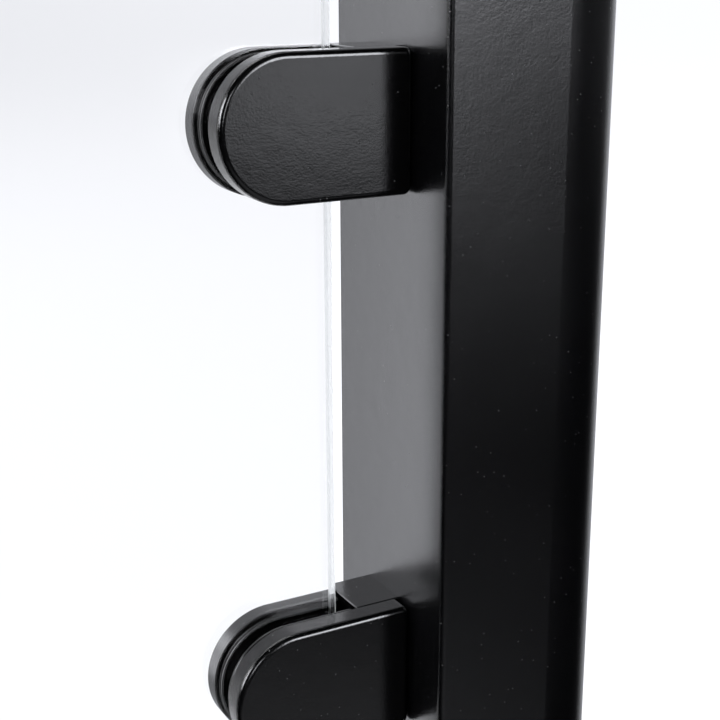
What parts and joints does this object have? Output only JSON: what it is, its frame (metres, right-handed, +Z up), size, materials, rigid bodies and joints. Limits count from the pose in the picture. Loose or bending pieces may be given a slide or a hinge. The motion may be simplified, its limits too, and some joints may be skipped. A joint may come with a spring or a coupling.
{
  "type": "glass kick panel",
  "caption": "Low clear glass kick panel held between two black posts with half-round outer sides by D-shaped glass clamps, on bolt-down base plates.",
  "frame": {"origin": "on the floor, midway between the two posts, in the plane of the glass", "axes": "+X along the panel to the right-hand post, +Y towards the back, +Z up; the clamp covers face -Y"},
  "size_m": [0.7086, 0.13, 0.386],
  "materials": {
    "post_coating": "satin black fine-grain powder coat on aluminium",
    "clamp_coating": "satin black powder coat on cast zinc",
    "cap_plastic": "fine-textured black moulded plastic",
    "gasket_rubber": "smooth black rubber with a soft gloss",
    "panel_glass": "clear low-iron toughened glass with polished edges",
    "stainless_steel": "plain turned stainless steel",
    "zinc_steel": "bright zinc plate"
  },
  "bodies": {
    "root": {"glass_panel": "panel_glass", "right_post_tube": "post_coating", "right_post_cap": "cap_plastic", "right_base_plate": "post_coating", "right_base_plate_screws": "zinc_steel", "right_upper_clamp_body": "clamp_coating", "right_upper_rear_gasket": "gasket_rubber", "right_upper_mounting_bolt": "zinc_steel", "right_upper_spring_washer": "zinc_steel", "right_upper_rivet_nut": "zinc_steel", "right_lower_clamp_body": "clamp_coating", "right_lower_rear_gasket": "gasket_rubber", "right_lower_mounting_bolt": "zinc_steel", "right_lower_spring_washer": "zinc_steel", "right_lower_rivet_nut": "zinc_steel", "left_post_tube": "post_coating", "left_post_cap": "cap_plastic", "left_base_plate": "post_coating", "left_base_plate_screws": "zinc_steel", "left_upper_clamp_body": "clamp_coating", "left_upper_rear_gasket": "gasket_rubber", "left_upper_mounting_bolt": "zinc_steel", "left_upper_spring_washer": "zinc_steel", "left_upper_rivet_nut": "zinc_steel", "left_lower_clamp_body": "clamp_coating", "left_lower_rear_gasket": "gasket_rubber", "left_lower_mounting_bolt": "zinc_steel", "left_lower_spring_washer": "zinc_steel", "left_lower_rivet_nut": "zinc_steel"},
    "right_upper_cover": {"right_upper_clamp_cover": "clamp_coating", "right_upper_front_gasket": "gasket_rubber"},
    "right_upper_screw_top": {"right_upper_cover_screw_top": "stainless_steel"},
    "right_upper_screw_bottom": {"right_upper_cover_screw_bottom": "stainless_steel"},
    "right_lower_cover": {"right_lower_clamp_cover": "clamp_coating", "right_lower_front_gasket": "gasket_rubber"},
    "right_lower_screw_top": {"right_lower_cover_screw_top": "stainless_steel"},
    "right_lower_screw_bottom": {"right_lower_cover_screw_bottom": "stainless_steel"},
    "left_upper_cover": {"left_upper_clamp_cover": "clamp_coating", "left_upper_front_gasket": "gasket_rubber"},
    "left_upper_screw_top": {"left_upper_cover_screw_top": "stainless_steel"},
    "left_upper_screw_bottom": {"left_upper_cover_screw_bottom": "stainless_steel"},
    "left_lower_cover": {"left_lower_clamp_cover": "clamp_coating", "left_lower_front_gasket": "gasket_rubber"},
    "left_lower_screw_top": {"left_lower_cover_screw_top": "stainless_steel"},
    "left_lower_screw_bottom": {"left_lower_cover_screw_bottom": "stainless_steel"}
  },
  "joints": [
    {"name": "right_upper_screw_top_turn", "type": "hinge", "parent": "root", "child": "right_upper_screw_top", "pos_m": [0.24175, 0, 0.297], "axis": [0, 1, 0], "range_deg": [0, 1080]},
    {"name": "right_upper_screw_bottom_turn", "type": "hinge", "parent": "root", "child": "right_upper_screw_bottom", "pos_m": [0.24175, 0, 0.269], "axis": [0, 1, 0], "range_deg": [0, 1080]},
    {"name": "right_upper_cover_slide", "type": "slide", "parent": "root", "child": "right_upper_cover", "axis": [0, -1, 0], "range_m": [0, 0.003]},
    {"name": "right_lower_screw_top_turn", "type": "hinge", "parent": "root", "child": "right_lower_screw_top", "pos_m": [0.24175, 0, 0.111], "axis": [0, 1, 0], "range_deg": [0, 1080]},
    {"name": "right_lower_screw_bottom_turn", "type": "hinge", "parent": "root", "child": "right_lower_screw_bottom", "pos_m": [0.24175, 0, 0.083], "axis": [0, 1, 0], "range_deg": [0, 1080]},
    {"name": "right_lower_cover_slide", "type": "slide", "parent": "root", "child": "right_lower_cover", "axis": [0, -1, 0], "range_m": [0, 0.003]},
    {"name": "left_upper_screw_top_turn", "type": "hinge", "parent": "root", "child": "left_upper_screw_top", "pos_m": [-0.24175, 0, 0.297], "axis": [0, 1, 0], "range_deg": [0, 1080]},
    {"name": "left_upper_screw_bottom_turn", "type": "hinge", "parent": "root", "child": "left_upper_screw_bottom", "pos_m": [-0.24175, 0, 0.269], "axis": [0, 1, 0], "range_deg": [0, 1080]},
    {"name": "left_upper_cover_slide", "type": "slide", "parent": "root", "child": "left_upper_cover", "axis": [0, -1, 0], "range_m": [0, 0.003]},
    {"name": "left_lower_screw_top_turn", "type": "hinge", "parent": "root", "child": "left_lower_screw_top", "pos_m": [-0.24175, 0, 0.111], "axis": [0, 1, 0], "range_deg": [0, 1080]},
    {"name": "left_lower_screw_bottom_turn", "type": "hinge", "parent": "root", "child": "left_lower_screw_bottom", "pos_m": [-0.24175, 0, 0.083], "axis": [0, 1, 0], "range_deg": [0, 1080]},
    {"name": "left_lower_cover_slide", "type": "slide", "parent": "root", "child": "left_lower_cover", "axis": [0, -1, 0], "range_m": [0, 0.003]}
  ],
  "couplings": [
    {"joint": "right_upper_screw_top_turn", "follows": "right_upper_cover_slide", "rad_per_m": 6283},
    {"joint": "right_upper_screw_bottom_turn", "follows": "right_upper_cover_slide", "rad_per_m": 6283},
    {"joint": "right_lower_screw_top_turn", "follows": "right_lower_cover_slide", "rad_per_m": 6283},
    {"joint": "right_lower_screw_bottom_turn", "follows": "right_lower_cover_slide", "rad_per_m": 6283},
    {"joint": "left_upper_screw_top_turn", "follows": "left_upper_cover_slide", "rad_per_m": 6283},
    {"joint": "left_upper_screw_bottom_turn", "follows": "left_upper_cover_slide", "rad_per_m": 6283},
    {"joint": "left_lower_screw_top_turn", "follows": "left_lower_cover_slide", "rad_per_m": 6283},
    {"joint": "left_lower_screw_bottom_turn", "follows": "left_lower_cover_slide", "rad_per_m": 6283}
  ]
}
